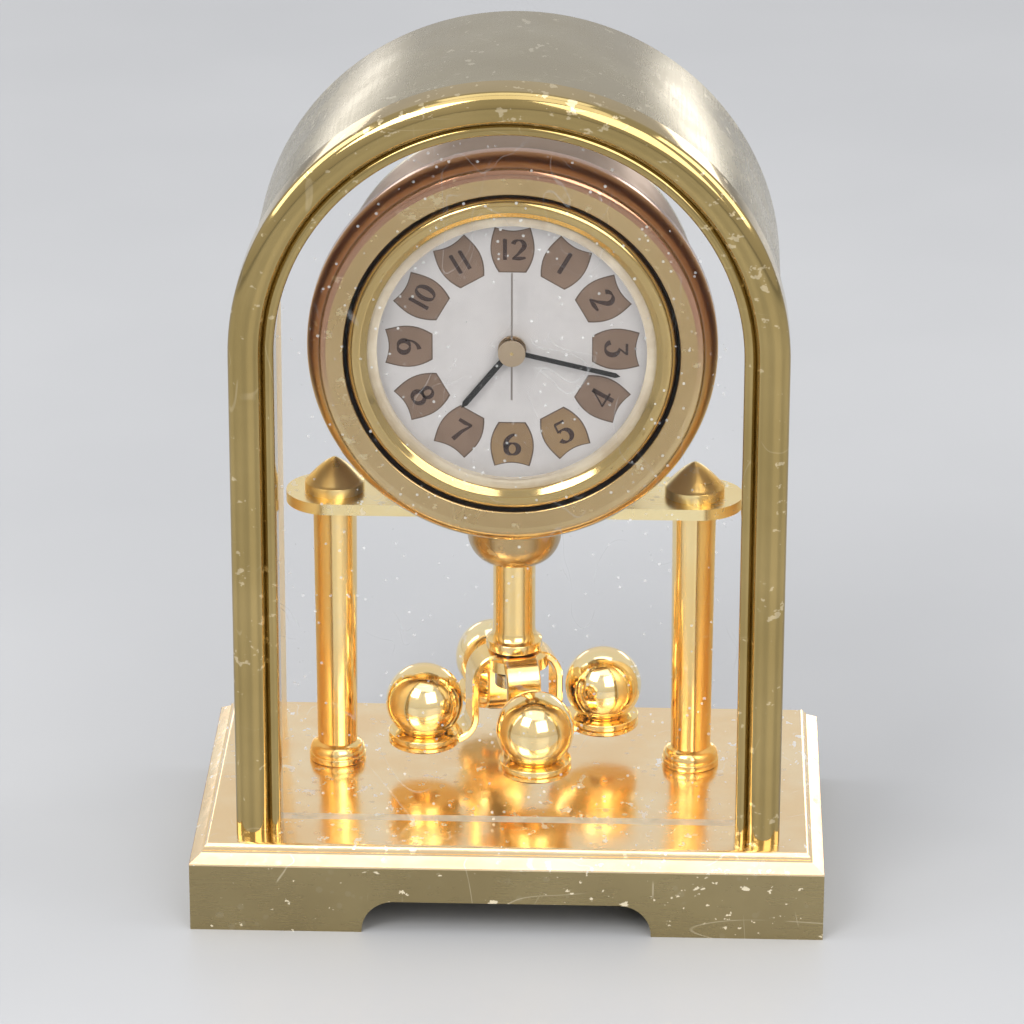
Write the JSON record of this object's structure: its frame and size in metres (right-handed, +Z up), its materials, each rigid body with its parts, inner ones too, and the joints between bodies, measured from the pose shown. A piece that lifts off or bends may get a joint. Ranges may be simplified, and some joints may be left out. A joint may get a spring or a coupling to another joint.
{
  "type": "anniversary clock",
  "caption": "Miniature arched brass clock with a glass front, a round dial head on two pillars and a turning pendulum of balls",
  "frame": {"origin": "under the middle of the base, on the surface that the clock stands on", "axes": "+Z up, -Y towards the viewer of the dial, +X to that viewer's right"},
  "size_m": [0.054, 0.0324, 0.0741],
  "materials": {
    "plinth_brass": "satin brushed brass with fine scratches and small dings",
    "felt": "dark green felt discs",
    "polished_deck": "polished brass that mirrors the pendulum, dusty",
    "steel_screws": "plain steel",
    "satin_case": "satin champagne brass with dings",
    "polished_moulding": "polished half-round brass moulding",
    "pane_glass": "clear pane with dust",
    "warm_brass": "polished warm lacquered brass",
    "satin_ring": "satin-faced brass with bright edges",
    "bezel_brass": "polished brass bezel",
    "lens_clear": "clear domed lens",
    "dial_white": "pearl white dial with taupe cartouches and dark numerals",
    "steel_shell": "pressed nickel-plated shell",
    "nylon": "natural nylon",
    "movement_brass": "plain stamped brass",
    "stator_iron": "soft iron lamination",
    "copper_coil": "enamelled copper winding",
    "board_green": "green laminate with a black chip",
    "battery_steel": "bright steel can",
    "ball_brass": "mirror polished gold balls",
    "second_hand_metal": "thin grey hand with a tan centre cap",
    "black_hands": "satin black",
    "knob_brass": "knurled brass",
    "rotor_magnet": "ground ferrite magnet"
  },
  "bodies": {
    "case": {"base_plinth": "plinth_brass", "foot_pads": "felt", "deck_plate": "polished_deck", "pillar_screws": "steel_screws", "case_screws": "steel_screws", "band_screws": "steel_screws", "case_band": "satin_case", "front_moulding": "polished_moulding", "front_pane": "pane_glass", "pillars": "warm_brass", "platform_plate": "warm_brass", "finial_nuts": "warm_brass", "head_housing": "satin_ring", "rear_cover": "satin_case", "stem_boss": "satin_ring", "pendulum_stem": "warm_brass", "stem_stud": "steel_screws", "pivot_screw": "steel_screws", "insert_bezel": "bezel_brass", "lens": "lens_clear", "dial": "dial_white", "insert_case": "steel_shell", "grip_ring": "nylon", "main_plate": "movement_brass", "stator": "stator_iron", "coil": "copper_coil", "train_bridge": "movement_brass", "bridge_screws": "steel_screws", "circuit_board": "board_green", "quartz_crystal": "steel_shell", "battery": "battery_steel", "battery_contact": "movement_brass", "battery_hatch": "steel_shell"},
    "pendulum": {"pivot_bush": "movement_brass", "pendulum_spider": "warm_brass", "ball_cups": "warm_brass", "pendulum_balls": "ball_brass", "ball_rivets": "warm_brass"},
    "second_train": {"second_hand": "second_hand_metal", "seconds_wheel": "movement_brass"},
    "minute_group": {"minute_hand": "black_hands", "cannon_pinion": "steel_shell"},
    "hour_group": {"hour_hand": "black_hands", "hour_wheel": "movement_brass"},
    "setting_group": {"minute_wheel": "movement_brass", "setting_knob": "knob_brass"},
    "centre_wheel_group": {"centre_wheel": "movement_brass"},
    "third_wheel_group": {"third_wheel": "movement_brass"},
    "step_wheel_group": {"step_wheel": "nylon"},
    "rotor_group": {"rotor": "rotor_magnet"}
  },
  "joints": [
    {"name": "pendulum_spin", "type": "hinge", "parent": "case", "child": "pendulum", "pos_m": [0, 0.0032, 0.0139], "axis": [0, 0, 1], "continuous": true},
    {"name": "second_hand", "type": "hinge", "parent": "case", "child": "second_train", "pos_m": [0, 0, 0.0487], "axis": [0, 1, 0], "continuous": true},
    {"name": "third_wheel", "type": "hinge", "parent": "case", "child": "third_wheel_group", "pos_m": [-0.00383, 0, 0.0501], "axis": [0, 1, 0], "continuous": true},
    {"name": "centre_wheel", "type": "hinge", "parent": "case", "child": "centre_wheel_group", "pos_m": [0, 0, 0.0487], "axis": [0, 1, 0], "continuous": true},
    {"name": "step_wheel", "type": "hinge", "parent": "case", "child": "step_wheel_group", "pos_m": [0.00109, 0, 0.05276], "axis": [0, 1, 0], "continuous": true},
    {"name": "rotor", "type": "hinge", "parent": "case", "child": "rotor_group", "pos_m": [0.00472, 0, 0.05276], "axis": [0, 1, 0], "continuous": true},
    {"name": "minute_hand", "type": "hinge", "parent": "case", "child": "minute_group", "pos_m": [0, 0, 0.0487], "axis": [0, 1, 0], "continuous": true},
    {"name": "hour_hand", "type": "hinge", "parent": "case", "child": "hour_group", "pos_m": [0, 0, 0.0487], "axis": [0, 1, 0], "continuous": true},
    {"name": "setting_knob", "type": "hinge", "parent": "case", "child": "setting_group", "pos_m": [0, 0, 0.0437], "axis": [0, 1, 0], "continuous": true}
  ],
  "couplings": [
    {"joint": "third_wheel", "follows": "second_hand", "ratio": -0.13333},
    {"joint": "centre_wheel", "follows": "second_hand", "ratio": 0.016667},
    {"joint": "step_wheel", "follows": "second_hand", "ratio": -3},
    {"joint": "rotor", "follows": "second_hand", "ratio": 30},
    {"joint": "hour_hand", "follows": "minute_hand", "ratio": 0.083333},
    {"joint": "setting_knob", "follows": "minute_hand", "ratio": -0.33333}
  ]
}
